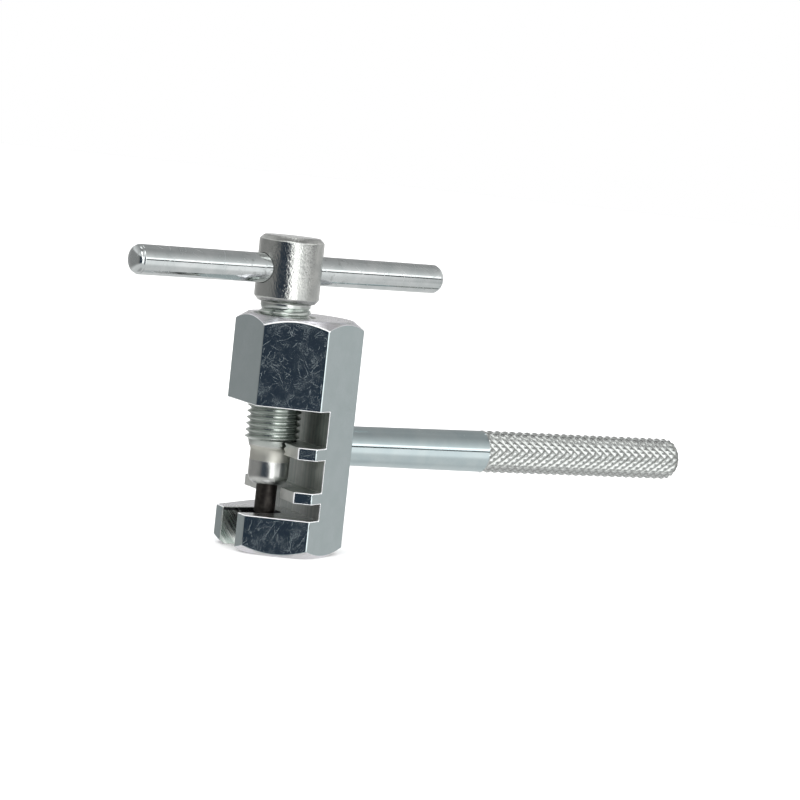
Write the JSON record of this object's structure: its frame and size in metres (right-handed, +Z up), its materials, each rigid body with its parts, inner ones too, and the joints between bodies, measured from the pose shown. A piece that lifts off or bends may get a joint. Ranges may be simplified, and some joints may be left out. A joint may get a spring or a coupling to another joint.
{
  "type": "bicycle chain tool",
  "caption": "Hexagonal steel body with chain prongs and a slotted anvil, a threaded spindle with cross bar and drive pin, and a knurled side handle.",
  "frame": {"origin": "centre of the drive pin's flat end face, on the spindle's axis and level with the anvil's top face", "axes": "+Z up the spindle's axis towards the cross bar, +X from the open side of the body along the handle, +Y to the left when looking from the open side towards the handle"},
  "size_m": [0.1136, 0.022, 0.0531],
  "materials": {
    "body_zinc_steel": "bright zinc plating over a smooth drawn hexagonal bar, with fine scratches",
    "spindle_zinc_steel": "bright zinc plating over turned and threaded steel",
    "bar_zinc_steel": "bright zinc plating over a drawn round bar",
    "black_oxide_steel": "hardened steel with a dark oxide finish",
    "handle_zinc_steel": "bright zinc plating, smooth near the body and diamond knurled on the grip"
  },
  "bodies": {
    "body": {"hex_body": "body_zinc_steel", "handle": "handle_zinc_steel"},
    "pin_carrier": {"drive_pin": "black_oxide_steel"},
    "spindle": {"spindle_screw": "spindle_zinc_steel", "t_bar": "bar_zinc_steel"}
  },
  "joints": [
    {"name": "spindle_advance", "type": "slide", "parent": "body", "child": "pin_carrier", "axis": [0, 0, 1], "range_m": [-0.0017, 0.018]},
    {"name": "spindle_turn", "type": "hinge", "parent": "pin_carrier", "child": "spindle", "pos_m": [0, 0, 0.041], "axis": [0, 0, 1], "range_deg": [-576, 6120]}
  ],
  "couplings": [
    {"joint": "spindle_advance", "follows": "spindle_turn", "m_per_rad": 0.00016844}
  ]
}
